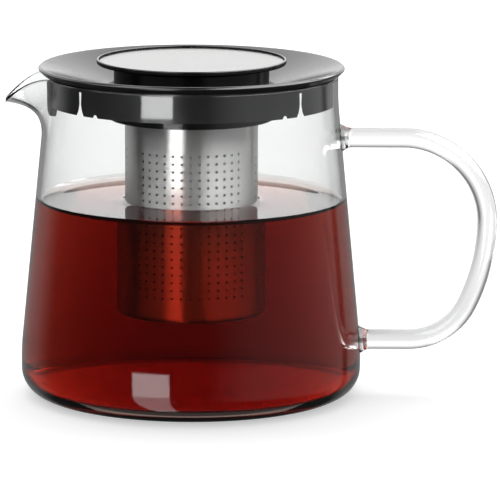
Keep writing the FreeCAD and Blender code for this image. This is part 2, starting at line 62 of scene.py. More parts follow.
def roundedOutline(corners, closed=False, arcSteps=8):
    # corners are (radius, height, rounding); each rounding becomes a tangent arc
    outline = []
    count = len(corners)
    for index, (x, z, rounding) in enumerate(corners):
        inner = closed or 0 < index < count - 1
        if not rounding or not inner:
            outline.append((x, z))
            continue
        lastX, lastZ, _ = corners[index - 1]
        nextX, nextZ, _ = corners[(index + 1) % count]
        toLast = math.atan2(lastZ - z, lastX - x)
        toNext = math.atan2(nextZ - z, nextX - x)
        turn = (toNext - toLast + math.pi) % (2 * math.pi) - math.pi
        halfTurn = abs(turn) / 2
        toCentre = toLast + turn / 2
        centreX = x + math.cos(toCentre) * rounding / math.sin(halfTurn)
        centreZ = z + math.sin(toCentre) * rounding / math.sin(halfTurn)
        start = toLast - math.copysign(math.pi / 2, turn)
        arc = -math.copysign(math.pi - 2 * halfTurn, turn)
        for step in range(arcSteps + 1):
            angle = start + arc * step / arcSteps
            outline.append((centreX + rounding * math.cos(angle), centreZ + rounding * math.sin(angle)))
    return outline


def dividedOutline(outline, longest):
    divided = [outline[0]]
    for x, z in outline[1:]:
        lastX, lastZ = divided[-1]
        count = max(1, math.ceil(math.hypot(x - lastX, z - lastZ) / longest))
        for step in range(1, count + 1):
            divided.append((lastX + (x - lastX) * step / count, lastZ + (z - lastZ) * step / count))
    return divided


def turnedMesh(outline, steps, closed=False):
    points, rings = [], []
    for radius, height in outline:
        if radius < onAxis:
            rings.append([len(points)])
            points.append((0, 0, height))
            continue
        rings.append(list(range(len(points), len(points) + steps)))
        for step in range(steps):
            angle = 2 * math.pi * step / steps
            points.append((radius * math.cos(angle), radius * math.sin(angle), height))
    if closed:
        rings.append(rings[0])
    faces = []
    for low, high in zip(rings, rings[1:]):
        for step in range(steps):
            after = (step + 1) % steps
            corners = (low[step % len(low)], low[after % len(low)],
                       high[after % len(high)], high[step % len(high)])
            faces.append(tuple(dict.fromkeys(corners)))
    return points, faces


def turnedPiece(name, corners, material, sharpAngle, steps, longest=None, closed=False):
    outline = roundedOutline(corners, closed)
    if longest:
        outline = dividedOutline(outline, longest)
    points, faces = turnedMesh(outline, steps, closed)
    return addPiece(name, points, faces, material, sharpAngle)


# node helpers

def link(tree, output, target):
    tree.links.new(output, target)


def addNode(tree, kind, **settings):
    node = tree.nodes.new(kind)
    for key, value in settings.items():
        setattr(node, key, value)
    return node


def addMath(tree, operation, first, second=None, third=None, clamp=False):
    node = addNode(tree, "ShaderNodeMath", operation=operation, use_clamp=clamp)
    for index, value in enumerate((first, second, third)):
        if value is None:
            continue
        if isinstance(value, (int, float)):
            node.inputs[index].default_value = value
        else:
            link(tree, value, node.inputs[index])
    return node.outputs[0]


def addBlend(tree, share, first, second):
    return addMath(tree, "MULTIPLY_ADD", share, addMath(tree, "SUBTRACT", second, first), first)


def splitPlace(tree, kind):
    # the three parts of a texture coordinate
    parts = addNode(tree, "ShaderNodeSeparateXYZ")
    link(tree, addNode(tree, "ShaderNodeTexCoord").outputs[kind], parts.inputs[0])
    return list(parts.outputs)


def newGroup(name, inputs, outputs):
    group = bpy.data.node_groups.new(name, "ShaderNodeTree")
    for label, kind, value in inputs:
        socket = group.interface.new_socket(label, in_out="INPUT", socket_type=kind)
        socket.default_value = value
    for label, kind in outputs:
        group.interface.new_socket(label, in_out="OUTPUT", socket_type=kind)
    return group, group.nodes.new("NodeGroupInput"), group.nodes.new("NodeGroupOutput")


def placeGroup(tree, group, **values):
    node = addNode(tree, "ShaderNodeGroup", node_tree=group)
    for label, value in values.items():
        socket = node.inputs[label]
        if hasattr(value, "is_linked"):
            link(tree, value, socket)
        else:
            socket.default_value = value
    return node


# node groups shared by the materials

noiseLook = {"low": 0.3, "high": 0.7, "cloudDetail": 5, "lineDetail": 3, "streaks": 3.0}


def sendRanged(group, noise, enter, leave):
    # what the noise mostly gives, stretched to Low and High
    ranged = addNode(group, "ShaderNodeMapRange")
    ranged.inputs["From Min"].default_value = noiseLook["low"]
    ranged.inputs["From Max"].default_value = noiseLook["high"]
    link(group, noise.outputs[0], ranged.inputs["Value"])
    link(group, enter.outputs["Low"], ranged.inputs["To Min"])
    link(group, enter.outputs["High"], ranged.inputs["To Max"])
    link(group, ranged.outputs[0], leave.inputs["Value"])


# cloudy variation between two values, for uneven gloss
mottle, enter, leave = newGroup(
    "surfaceMottle",
    [("Scale", "NodeSocketFloat", 60), ("Low", "NodeSocketFloat", 0.1), ("High", "NodeSocketFloat", 0.2)],
    [("Value", "NodeSocketFloat")])
cloud = addNode(mottle, "ShaderNodeTexNoise")
cloud.inputs["Detail"].default_value = noiseLook["cloudDetail"]
link(mottle, addNode(mottle, "ShaderNodeTexCoord").outputs["Object"], cloud.inputs["Vector"])
link(mottle, enter.outputs["Scale"], cloud.inputs["Scale"])
sendRanged(mottle, cloud, enter, leave)

# fine lines left by turning or brushing round the axis
brushing, enter, leave = newGroup(
    "brushLines",
    [("Height Scale", "NodeSocketFloat", 6000), ("Radius Scale", "NodeSocketFloat", 0),
     ("Low", "NodeSocketFloat", 0.0), ("High", "NodeSocketFloat", 1.0)],
    [("Value", "NodeSocketFloat")])
alongX, alongY, alongZ = splitPlace(brushing, "Object")
angle = addMath(brushing, "ARCTAN2", alongY, alongX)
square = addMath(brushing, "ADD", addMath(brushing, "MULTIPLY", alongX, alongX),
                 addMath(brushing, "MULTIPLY", alongY, alongY))
length = addMath(brushing, "SQRT", square)
joined = addNode(brushing, "ShaderNodeCombineXYZ")
link(brushing, addMath(brushing, "MULTIPLY", angle, noiseLook["streaks"]), joined.inputs[0])
link(brushing, addMath(brushing, "MULTIPLY", length, enter.outputs["Radius Scale"]), joined.inputs[1])
link(brushing, addMath(brushing, "MULTIPLY", alongZ, enter.outputs["Height Scale"]), joined.inputs[2])
lines = addNode(brushing, "ShaderNodeTexNoise")
lines.inputs["Scale"].default_value = 1
lines.inputs["Detail"].default_value = noiseLook["lineDetail"]
link(brushing, joined.outputs[0], lines.inputs["Vector"])
sendRanged(brushing, lines, enter, leave)


# materials

def newMaterial(name, **constants):
    material = bpy.data.materials.new(name)
    material.use_nodes = True
    tree = material.node_tree
    shader = tree.nodes["Principled BSDF"]
    for label, value in constants.items():
        shader.inputs[label.replace("_", " ")].default_value = value
    return material, tree, shader


def addBump(tree, shader, height, strength, distance):
    bump = addNode(tree, "ShaderNodeBump")
    bump.inputs["Strength"].default_value = strength
    bump.inputs["Distance"].default_value = distance
    link(tree, height, bump.inputs["Height"])
    link(tree, bump.outputs[0], shader.inputs["Normal"])


def glassMaterial(name, glint, ior):
    material, tree, shader = newMaterial(
        name, Base_Color=glassLook["colour"], Roughness=0, IOR=ior,
        Transmission_Weight=1, Specular_Tint=(glint, glint, glint, 1))
    waves = placeGroup(tree, mottle, Scale=glassLook["waves"], Low=0.0, High=1.0)
    addBump(tree, shader, waves.outputs[0], glassLook["waveStrength"], glassLook["waveDepth"])
    return material


def plasticMaterial(name, look):
    material, tree, shader = newMaterial(name, Base_Color=look["colour"], IOR=look["ior"],
                                         Coat_Weight=look["coat"], Coat_Roughness=look["coatRough"])
    gloss = placeGroup(tree, mottle, Scale=look["clouds"], Low=look["roughLow"], High=look["roughHigh"])
    link(tree, gloss.outputs[0], shader.inputs["Roughness"])
    grain = placeGroup(tree, mottle, Scale=look["grain"], Low=0.0, High=1.0)
    addBump(tree, shader, grain.outputs[0], look["grainStrength"], look["grainDepth"])
    return material


def steelMaterial(name, look):
    glint = look["glint"]
    material, tree, shader = newMaterial(name, Base_Color=look["colour"], Metallic=1,
                                         Specular_Tint=(glint, glint, glint, 1))
    scales = {"Height Scale": look["heightLines"], "Radius Scale": look["radiusLines"]}
    gloss = placeGroup(tree, brushing, Low=look["roughLow"], High=look["roughHigh"], **scales)
    link(tree, gloss.outputs[0], shader.inputs["Roughness"])
    grooves = placeGroup(tree, brushing, **scales)
    addBump(tree, shader, grooves.outputs[0], look["lineStrength"], look["lineDepth"])
    return material, tree, shader


glassLook = {"colour": (0.985, 0.992, 0.988, 1), "ior": 1.47, "teaIor": 1.12, "wetGlint": 0.1,
             "waves": 26, "waveStrength": 0.25, "waveDepth": 0.00004}
clearGlass = glassMaterial("clearGlass", 1.0, glassLook["ior"])
wetIor = glassLook["ior"] / glassLook["teaIor"]   # for faces that touch the tea
wetGlass = glassMaterial("wetGlass", glassLook["wetGlint"], wetIor)

plasticLook = {"colour": (0.012, 0.012, 0.013, 1), "ior": 1.49, "coat": 0.0, "coatRough": 0.03,
               "clouds": 90.0, "roughLow": 0.13, "roughHigh": 0.2,
               "grain": 2600.0, "grainStrength": 0.04, "grainDepth": 0.0001}
blackPlastic = plasticMaterial("blackPlastic", plasticLook)

# the skirt's moulding: dull below a clear surface
skirtLook = {"colour": (0.013, 0.013, 0.014, 1), "ior": 1.55, "coat": 0.6, "coatRough": 0.08,
             "clouds": 70.0, "roughLow": 0.36, "roughHigh": 0.44,
             "grain": 40.0, "grainStrength": 0.05, "grainDepth": 0.00005}
glossPlastic = plasticMaterial("glossPlastic", skirtLook)

plateLook = {"colour": (0.6, 0.6, 0.595, 1), "glint": 0.68, "roughLow": 0.14, "roughHigh": 0.2,
             "heightLines": 0.0, "radiusLines": 9000.0, "lineStrength": 0.03, "lineDepth": 0.00005}
satinSteel, tree, shader = steelMaterial("satinSteel", plateLook)

tubeLook = {"colour": (0.84, 0.84, 0.83, 1), "glint": 1.0, "roughLow": 0.3, "roughHigh": 0.38,
            "heightLines": 5000.0, "radiusLines": 0.0, "lineStrength": 0.03, "lineDepth": 0.00005,
            "streak": 0.9, "streakTurn": 0.25}
brushedSteel, tree, shader = steelMaterial("brushedSteel", tubeLook)
shader.inputs["Anisotropic"].default_value = tubeLook["streak"]
shader.inputs["Anisotropic Rotation"].default_value = tubeLook["streakTurn"]
grainWay = addNode(tree, "ShaderNodeTangent", direction_type="RADIAL", axis="Z")
link(tree, grainWay.outputs[0], shader.inputs["Tangent"])
print("materials made")


# jug: turned wall with a fire-polished rim, pulled out to a spout on the -X side

jug = {
    "height": 143.6, "footRadius": 75.6, "neckRadius": 65.0, "footHeight": 21.6, "neckHeight": 131.5,
    "corner": 12.0, "footEase": 100.0, "neckEase": 120.0, "wall": 2.0, "floor": 4.0,
    "steps": 320, "arcSteps": 14, "longest": 1.6, "sharpAngle": 80,
    "spoutWidth": 21.0, "spoutReach": 18.4, "spoutDrop": 12.8, "spoutDepth": 28.0, "spoutWall": 1.6,
    "risePower": 2, "reachPower": 1.3, "dropPower": 2.4,
}
# the tea's sizes stand here, because the jug's wet faces end at its edge
tea = {
    "level": 86.3, "wallRise": 2.8, "tubeRise": 1.2, "riseWidth": 1.7, "overlap": 0.2, "deep": 0.3,
    "steps": 192, "longest": 3.0, "sharpAngle": 50, "ring": 0.4, "wallRings": 30, "openRings": 8,
    "openEnd": 41.0, "tubeStart": 40.5, "tubeRings": 29, "insideRings": 24, "lastRadii": [15, 10, 5, 0],
}
contact = tea["level"] + tea["wallRise"]   # height where the tea's edge meets the glass


def coneRadius(height, offset=0.0):
    share = (height - jug["footHeight"]) / (jug["neckHeight"] - jug["footHeight"])
    return jug["footRadius"] + (jug["neckRadius"] - jug["footRadius"]) * share - offset


wall = jug["wall"]
bead = wall / 2
jugCorners = [
    (0, 0, 0), (jug["footRadius"], 0, jug["corner"]),
    (jug["footRadius"], jug["footHeight"], jug["footEase"]),
    (jug["neckRadius"], jug["neckHeight"], jug["neckEase"]),
    (jug["neckRadius"], jug["height"], bead), (jug["neckRadius"] - wall, jug["height"], bead),
    (jug["neckRadius"] - wall, jug["neckHeight"], jug["neckEase"] - wall),
    (coneRadius(contact, wall), contact, 0),
    (jug["footRadius"] - wall, jug["footHeight"], jug["footEase"] - wall),
    (jug["footRadius"] - wall, jug["floor"], jug["corner"] - wall), (0, jug["floor"], 0),
]
outline = dividedOutline(roundedOutline(jugCorners, arcSteps=jug["arcSteps"]), jug["longest"])
rimIndex = max(range(len(outline)), key=lambda index: outline[index][1])
points, faces = turnedMesh(outline, jug["steps"])
inside = []
for index, (radius, height) in enumerate(outline):
    inside += [index > rimIndex] * (1 if radius < onAxis else jug["steps"])


def pulled(point, isInside):
    x, y, z = point
    start = jug["height"] - jug["spoutDepth"]
    if x > 0 or z < start or abs(y) > jug["spoutWidth"]:
        return point
    rise = ((z - start) / jug["spoutDepth"]) ** jug["risePower"]
    across = math.cos(math.pi * y / (2 * jug["spoutWidth"]))
    drop = jug["spoutDrop"] - (jug["spoutWall"] if isInside else 0)
    return (x - jug["spoutReach"] * rise * across ** jug["reachPower"], y,
            z - drop * rise * across ** jug["dropPower"])


points = [pulled(point, flag) for point, flag in zip(points, inside)]
jugGlass = addPiece("jugGlass", points, faces, clearGlass, jug["sharpAngle"])
jugGlass.data.materials.append(wetGlass)
for face in jugGlass.data.polygons:
    height = sum(points[vertex][2] for vertex in face.vertices) / len(face.vertices)
    isWet = all(inside[vertex] for vertex in face.vertices) and height < contact
    face.material_index = 1 if isWet else 0
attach(jugGlass, "jug")
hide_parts("glass_jug")
print("jug made")


# handle: one rod swept along its bent line, its feet spread on the wall

handle = {
    "rod": 4.4, "foot": 6.2, "footLength": 4.2, "footPower": 1.6, "sink": 0.25, "topHeight": 115.3,
    "topRun": 94.0, "topBend": 37.6, "backBend": 85.0, "lowBend": 29.0, "lowHeight": 24.2,
    "sides": 40, "pitch": 1.5, "longest": 1.0, "shortest": 0.05, "sharpAngle": 60,
}


def arcLine(centreX, centreZ, radius, start, end):
    count = max(2, math.ceil(radius * abs(end - start) / handle["pitch"]))
    angles = [start + (end - start) * step / count for step in range(count + 1)]
    return [(centreX + radius * math.cos(a), centreZ + radius * math.sin(a)) for a in angles]


bendHeight = handle["topHeight"] - handle["topBend"]
backX = handle["topRun"] + handle["topBend"] - handle["backBend"]
apart = handle["backBend"] - handle["lowBend"]
lowCentre = handle["lowHeight"] + handle["lowBend"]
sweep = math.asin((bendHeight - lowCentre) / apart)
lowX = backX + apart * math.cos(sweep)
topStart = coneRadius(handle["topHeight"]) - handle["sink"]
lowEnd = coneRadius(handle["lowHeight"]) - handle["sink"]
line = [(topStart, handle["topHeight"]), (handle["topRun"], handle["topHeight"])]
line += arcLine(handle["topRun"], bendHeight, handle["topBend"], math.pi / 2, 0)
line += arcLine(backX, bendHeight, handle["backBend"], 0, -sweep)[1:]
line += arcLine(lowX, lowCentre, handle["lowBend"], -sweep, -math.pi / 2)[1:]
line += [(lowEnd, handle["lowHeight"])]
line = dividedOutline(line, handle["longest"])
spaced = [here for here, after in zip(line, line[1:]) if math.dist(here, after) > handle["shortest"]]
line = spaced + [line[-1]]
travel = [0.0]
for here, after in zip(line, line[1:]):
    travel.append(travel[-1] + math.dist(here, after))
wallLean = (jug["footRadius"] - jug["neckRadius"]) / (jug["neckHeight"] - jug["footHeight"])
sides = handle["sides"]
points, faces = [], []
for index, (x, z) in enumerate(line):
    before, after = line[max(index - 1, 0)], line[min(index + 1, len(line) - 1)]
    along = math.atan2(after[1] - before[1], after[0] - before[0])
    fromEnd = min(travel[index], travel[-1] - travel[index]) - handle["sink"]
    footShare = max(0.0, 1 - max(fromEnd, 0) / handle["footLength"])
    radius = handle["rod"] + (handle["foot"] - handle["rod"]) * footShare ** handle["footPower"]
    for side in range(sides):
        turn = 2 * math.pi * side / sides
        shift = radius * math.cos(turn)
        y = radius * math.sin(turn)
        # the foot follows the wall's lean and its curve
        fit = footShare * (wallLean * shift * math.cos(along) + y * y / (2 * coneRadius(z)))
        points.append((x - math.sin(along) * shift - fit, y, z + math.cos(along) * shift))
for ring in range(len(line) - 1):
    for side in range(sides):
        after = (side + 1) % sides
        faces.append((ring * sides + side, (ring + 1) * sides + side,
                      (ring + 1) * sides + after, ring * sides + after))
faces.append(tuple(range(sides)))
faces.append(tuple(reversed(range((len(line) - 1) * sides, len(line) * sides))))
handleGlass = addPiece("handleGlass", points, faces, clearGlass, handle["sharpAngle"])
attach(handleGlass, "jug")
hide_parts("glass_handle")
print("handle made")


# tea: fills the jug to its level, with a raised edge at the glass and at the strainer

teaLook = {"absorb": (0.705, 0.17, 0.0, 1), "density": 60, "ior": 1.333, "sheen": 0.4, "sheenIor": 1.5,
           "topBelow": 0.1, "topFacing": 0.2, "haze": 30.0, "hazeStrength": 0.05, "hazeDepth": 0.00002}
teaLiquid, tree, shader = newMaterial("teaLiquid", Base_Color=(1, 1, 1, 1), Roughness=0, IOR=1.0,
                                      Transmission_Weight=1)
# the free top bends and mirrors light, the sides leave that to the glass
topShader = addNode(tree, "ShaderNodeBsdfPrincipled")
topValues = {"Base Color": (1, 1, 1, 1), "Roughness": 0, "IOR": teaLook["ior"], "Transmission Weight": 1,
             "Coat Weight": teaLook["sheen"], "Coat IOR": teaLook["sheenIor"], "Coat Roughness": 0}
for label, value in topValues.items():
    topShader.inputs[label].default_value = value
haze = placeGroup(tree, mottle, Scale=teaLook["haze"], Low=0.0, High=1.0)
addBump(tree, topShader, haze.outputs[0], teaLook["hazeStrength"], teaLook["hazeDepth"])
topFrom = (tea["level"] - teaLook["topBelow"]) / 1000
isHigh = addMath(tree, "GREATER_THAN", splitPlace(tree, "Object")[2], topFrom)
facesUp = addMath(tree, "ABSOLUTE", splitPlace(tree, "Normal")[2])
isTop = addMath(tree, "MULTIPLY", isHigh, addMath(tree, "GREATER_THAN", facesUp, teaLook["topFacing"]))
choice = addNode(tree, "ShaderNodeMixShader")
link(tree, isTop, choice.inputs[0])
link(tree, shader.outputs[0], choice.inputs[1])
link(tree, topShader.outputs[0], choice.inputs[2])
absorb = addNode(tree, "ShaderNodeVolumeAbsorption")
absorb.inputs["Color"].default_value = teaLook["absorb"]
absorb.inputs["Density"].default_value = teaLook["density"]
ending = tree.nodes["Material Output"]
link(tree, choice.outputs[0], ending.inputs["Surface"])
link(tree, absorb.outputs[0], ending.inputs["Volume"])

# the strainer's sizes stand here, because the tea's surface meets its tube
strainer = {
    "radius": 29.5, "sheet": 0.5, "bottom": 36.7, "seam": 39.9, "top": 135.1, "flange": 31.5,
    "columns": 48, "patch": 16, "patchHoles": 13, "rows": 19, "firstRow": 48.0, "rowPitch": 3.5,
    "holeRadius": 0.55, "cupRound": 2.4, "cupSteps": 192, "cupLongest": 4.0, "sharpAngle": 40,
}
sheet = strainer["sheet"]
outerRadius, innerRadius = strainer["radius"], strainer["radius"] - sheet

deep = tea["deep"]   # the tea's sides reach into the glass, to this depth below its outside
teaEdge = coneRadius(contact, wall)
sideCorners = [
    (0, deep, 0), (jug["footRadius"] - deep, deep, jug["corner"] - deep),
    (jug["footRadius"] - deep, jug["footHeight"], jug["footEase"] - deep),
    (teaEdge + tea["overlap"], contact, 0),
]
outline = dividedOutline(roundedOutline(sideCorners, arcSteps=jug["arcSteps"]), tea["longest"])
ring = tea["ring"]
openStart = teaEdge - tea["wallRings"] * ring
openStep = (openStart - tea["openEnd"]) / tea["openRings"]
radii = [teaEdge - step * ring for step in range(tea["wallRings"])]
radii += [openStart - step * openStep for step in range(tea["openRings"] + 1)]
radii += [tea["tubeStart"] - step * ring for step in range(tea["tubeRings"])]
radii += [innerRadius - ring - step * ring for step in range(tea["insideRings"])]
for radius in radii + tea["lastRadii"]:
    fromTube = max(radius - outerRadius, innerRadius - radius, 0)
    rise = tea["wallRise"] * math.exp((radius - teaEdge) / tea["riseWidth"])
    rise += tea["tubeRise"] * math.exp(-fromTube / tea["riseWidth"])
    outline.append((radius, tea["level"] + rise))
points, faces = turnedMesh(outline, tea["steps"])
teaFill = addPiece("teaFill", points, faces, teaLiquid, tea["sharpAngle"])
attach(teaFill, "jug")
print("tea made")


# strainer tube: rows of round holes in three patches, plain strips between them

def tubePoint(column, height, radius):
    # columns start so that the middle of the first patch faces -Y
    fromMiddle = column - (strainer["patchHoles"] - 1) / 2 - 0.5
    angle = math.radians(-90 + fromMiddle * 360 / strainer["columns"])
    return (radius * math.cos(angle), radius * math.sin(angle), height)


points, faces, known = [], [], {}


def vertexAt(key, position):
    if key not in known:
        known[key] = len(points)
        points.append(position)
    return known[key]


quarters = 4   # each hole stands in a cell of 4 by 4 steps
around = strainer["columns"] * quarters
bandLow = strainer["firstRow"] - strainer["rowPitch"] / 2
arcPitch = 2 * math.pi * outerRadius / strainer["columns"]
sheetRadii = (outerRadius, innerRadius)


def gridVertex(side, column, row):
    height = bandLow + row * strainer["rowPitch"] / quarters
    return vertexAt((side, column % around, row), tubePoint(column / quarters, height, sheetRadii[side]))


def addQuad(side, quad):
    faces.append(tuple(quad if side == 0 else reversed(quad)))


border = [(step, 0) for step in range(quarters)] + [(quarters, step) for step in range(quarters)]
border += [(quarters - step, quarters) for step in range(quarters)]
border += [(0, quarters - step) for step in range(quarters)]


def plainCell(firstColumn, firstRow):
    for column in range(firstColumn, firstColumn + quarters):
        for row in range(firstRow, firstRow + quarters):
            for side in (0, 1):
                addQuad(side, [gridVertex(side, column, row), gridVertex(side, column + 1, row),
                               gridVertex(side, column + 1, row + 1), gridVertex(side, column, row + 1)])


def holeCell(column, row):
    centreHeight = strainer["firstRow"] + row * strainer["rowPitch"]
    loops = []
    for side in (0, 1):
        rimLoop = [gridVertex(side, column * quarters + x, row * quarters + z) for x, z in border]
        holeLoop = []
        for x, z in border:
            turn = math.atan2((z - quarters / 2) * strainer["rowPitch"], (x - quarters / 2) * arcPitch)
            shift = strainer["holeRadius"] * math.cos(turn) / arcPitch
            height = centreHeight + strainer["holeRadius"] * math.sin(turn)
            holeLoop.append(vertexAt((side, "hole", column, row, x, z),
                                     tubePoint(column + 0.5 + shift, height, sheetRadii[side])))
        for step in range(len(border)):
            after = (step + 1) % len(border)
            addQuad(side, [rimLoop[step], rimLoop[after], holeLoop[after], holeLoop[step]])
        loops.append(holeLoop)
    for step in range(len(border)):
        after = (step + 1) % len(border)
        faces.append((loops[0][step], loops[0][after], loops[1][after], loops[1][step]))


for column in range(strainer["columns"]):
    for row in range(strainer["rows"]):
        if column % strainer["patch"] < strainer["patchHoles"]:
            holeCell(column, row)
        else:
            plainCell(column * quarters, row * quarters)


def gridRing(side, row):
    return [gridVertex(side, step, row) for step in range(around)]


def bandRing(label, radius, height):
    return [vertexAt((label, step), tubePoint(step / quarters, height, radius)) for step in range(around)]


lastRow = strainer["rows"] * quarters
flange, top = strainer["flange"], strainer["top"]
seamRings = [("seamIn", innerRadius, strainer["seam"]), ("seamOut", outerRadius, strainer["seam"])]
flangeRings = [   # the sheet bends outwards at the top and comes back inside
    ("neck", outerRadius, top - sheet - 0.6), ("bend", outerRadius + 0.2, top - sheet - 0.1),
    ("under", outerRadius + 0.7, top - sheet), ("edgeLow", flange, top - sheet),
    ("edgeHigh", flange, top), ("over", outerRadius + 0.5, top),
    ("bendIn", outerRadius - 0.2, top - 0.25), ("neckIn", innerRadius, top - 0.8),
]
lowChain = [gridRing(1, 0)] + [bandRing(*band) for band in seamRings] + [gridRing(0, 0)]
highChain = [gridRing(0, lastRow)] + [bandRing(*band) for band in flangeRings] + [gridRing(1, lastRow)]
for chain in (lowChain, highChain):
    for low, high in zip(chain, chain[1:]):
        for step in range(around):
            after = (step + 1) % around
            faces.append((low[step], low[after], high[after], high[step]))
tubeSteel = addPiece("tubeSteel", points, faces, brushedSteel, strainer["sharpAngle"])
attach(tubeSteel, "strainer")
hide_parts("strainer_tube")

cupFloor = strainer["bottom"] + sheet
cupCorners = [
    (0, strainer["bottom"], 0), (outerRadius, strainer["bottom"], strainer["cupRound"]),
    (outerRadius, strainer["seam"], 0), (innerRadius, strainer["seam"], 0),
    (innerRadius, cupFloor, strainer["cupRound"] - sheet), (0, cupFloor, 0),
]
cupSteel = turnedPiece("cupSteel", cupCorners, brushedSteel, strainer["sharpAngle"],
                       strainer["cupSteps"], strainer["cupLongest"])
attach(cupSteel, "strainer")
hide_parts("strainer_base")

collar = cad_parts["strainer_collar"]   # keeps its CAD shape
collar.data.materials.clear()
collar.data.materials.append(blackPlastic)
print("strainer made")


# lid: knob, plate, cover and skirt are turned with round edges; slots, slits and notches are cut

knob = {
    "plugInner": 26.1, "plugOuter": 27.9, "plugBottom": 134.5, "seat": 138.3, "neck": 34.4,
    "underside": 147.6, "disc": 42.0, "discBottom": 148.3, "top": 150.4, "recess": 41.0,
    "recessFloor": 149.0, "hollow": 32.6, "hollowFloor": 139.7, "steps": 192, "sharpAngle": 40,
    "small": 0.3, "plugRound": 0.4, "root": 1.2, "edge": 0.7, "topRound": 0.5, "lip": 0.35,
    "hollowRound": 0.6,
}
knobCorners = [
    (knob["plugInner"], knob["plugBottom"], knob["small"]),
    (knob["plugOuter"], knob["plugBottom"], knob["plugRound"]),
    (knob["plugOuter"], knob["seat"], 0), (knob["neck"], knob["seat"], knob["small"]),
    (knob["neck"], knob["underside"], knob["root"]), (knob["disc"], knob["discBottom"], knob["edge"]),
    (knob["disc"], knob["top"], knob["topRound"]), (knob["recess"], knob["top"], knob["lip"]),
    (knob["recess"], knob["recessFloor"], 0), (knob["hollow"], knob["recessFloor"], knob["small"]),
    (knob["hollow"], knob["hollowFloor"], knob["hollowRound"]),
    (knob["plugInner"], knob["hollowFloor"], knob["small"]),
]
knobBlack = turnedPiece("knobBlack", knobCorners, blackPlastic, knob["sharpAngle"],
                        knob["steps"], closed=True)
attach(knobBlack, "lid")
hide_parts("knob_cap")

plate = {"radius": 40.9, "bottom": 149.0, "top": 149.6, "lowRound": 0.1, "round": 0.25,
         "steps": 192, "longest": 3.0, "sharpAngle": 40}
plateCorners = [(0, plate["bottom"], 0), (plate["radius"], plate["bottom"], plate["lowRound"]),
                (plate["radius"], plate["top"], plate["round"]), (0, plate["top"], 0)]
plateSteel = turnedPiece("plateSteel", plateCorners, satinSteel, plate["sharpAngle"],
                         plate["steps"], plate["longest"])
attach(plateSteel, "lid")
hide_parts("knob_plate")


def sector(low, high, start, end, inner, outer, steps=24):
    section = ((inner, low), (outer, low), (outer, high), (inner, high))
    count = len(section)
    points, faces = [], []
    for step in range(steps + 1):
        angle = math.radians(start + (end - start) * step / steps)
        points += [(radius * math.cos(angle), radius * math.sin(angle), height) for radius, height in section]
    for first in range(0, steps * count, count):
        for side in range(count):
            after = (side + 1) % count
            faces.append((first + side, first + after, first + count + after, first + count + side))
    faces += [tuple(reversed(range(count))), tuple(range(steps * count, (steps + 1) * count))]
    return points, [tuple(reversed(face)) for face in faces]


def prism(outline, start, end, alongX=False):
    # outline is (across, height), turning left; the prism runs along Y, or along X
    count = len(outline)
    points = [(at, across, z) if alongX else (across, at, z) for at in (start, end) for across, z in outline]
    faces = [(k, (k + 1) % count, count + (k + 1) % count, count + k) for k in range(count)]
    faces += [tuple(reversed(range(count))), tuple(range(count, 2 * count))]
    return points, faces if alongX else [tuple(reversed(face)) for face in faces]


def cutAway(piece, cutters, sharpAngle):
    tools = []
    for points, faces in cutters:
        tool = addPiece("cutter", points, faces, piece.data.materials[0])
        change = piece.modifiers.new("cut", "BOOLEAN")
        change.object = tool
        change.operation = "DIFFERENCE"
        change.solver = "EXACT"
        tools.append(tool)
    evaluated = piece.evaluated_get(bpy.context.evaluated_depsgraph_get())
    mesh = bpy.data.meshes.new_from_object(evaluated)
    piece.modifiers.clear()
    piece.data = mesh
    smoothMesh(mesh, sharpAngle)
    for tool in tools:
        bpy.data.objects.remove(tool)


cover = {
    "hole": 28.0, "web": 136.1, "seat": 138.3, "sleeveInner": 36.6, "sleeveOuter": 38.9,
    "sleeveBottom": 127.9, "rest": 143.9, "restInner": 60.0, "restOuter": 65.6, "edgeRadius": 68.0,
    "edgeHeight": 146.2, "crestRadius": 66.8, "crest": 147.5, "dishFoot": 37.5,
    "steps": 256, "longest": 3.0, "sharpAngle": 40,
    "small": 0.2, "sleeveRound": 0.4, "restRound": 0.5, "edgeRound": 0.7, "crestRound": 0.9, "dishRound": 2.0,
    "slotLow": 130.6, "slotHigh": 133.7, "slotInner": 35.5, "slotOuter": 40.2, "entryLow": 126.0,
    "entryOverlap": 1, "lug": 6.6, "turn": 40.0,
}
coverCorners = [
    (cover["hole"], cover["web"], cover["small"]), (cover["sleeveInner"], cover["web"], cover["small"]),
    (cover["sleeveInner"], cover["sleeveBottom"], cover["sleeveRound"]),
    (cover["sleeveOuter"], cover["sleeveBottom"], cover["sleeveRound"]),
    (cover["sleeveOuter"], cover["web"], cover["sleeveRound"]),
    (cover["restInner"], cover["rest"], cover["sleeveRound"]),
    (cover["restOuter"], cover["rest"], cover["restRound"]),
    (cover["edgeRadius"], cover["edgeHeight"], cover["edgeRound"]),
    (cover["crestRadius"], cover["crest"], cover["crestRound"]),
    (cover["dishFoot"], cover["seat"], cover["dishRound"]), (cover["hole"], cover["seat"], cover["small"]),
]
coverBlack = turnedPiece("coverBlack", coverCorners, blackPlastic, cover["sharpAngle"],
                         cover["steps"], cover["longest"], closed=True)
slots = []
for third in (0, 120, 240):
    end = third + cover["turn"]
    slots.append(sector(cover["slotLow"], cover["slotHigh"], third - cover["lug"], end + cover["lug"],
                        cover["slotInner"], cover["slotOuter"]))
    slots.append(sector(cover["entryLow"], cover["slotLow"] + cover["entryOverlap"], end - cover["lug"],
                        end + cover["lug"], cover["slotInner"], cover["slotOuter"]))
cutAway(coverBlack, slots, cover["sharpAngle"])
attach(coverBlack, "lid")
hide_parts("lid_cover")

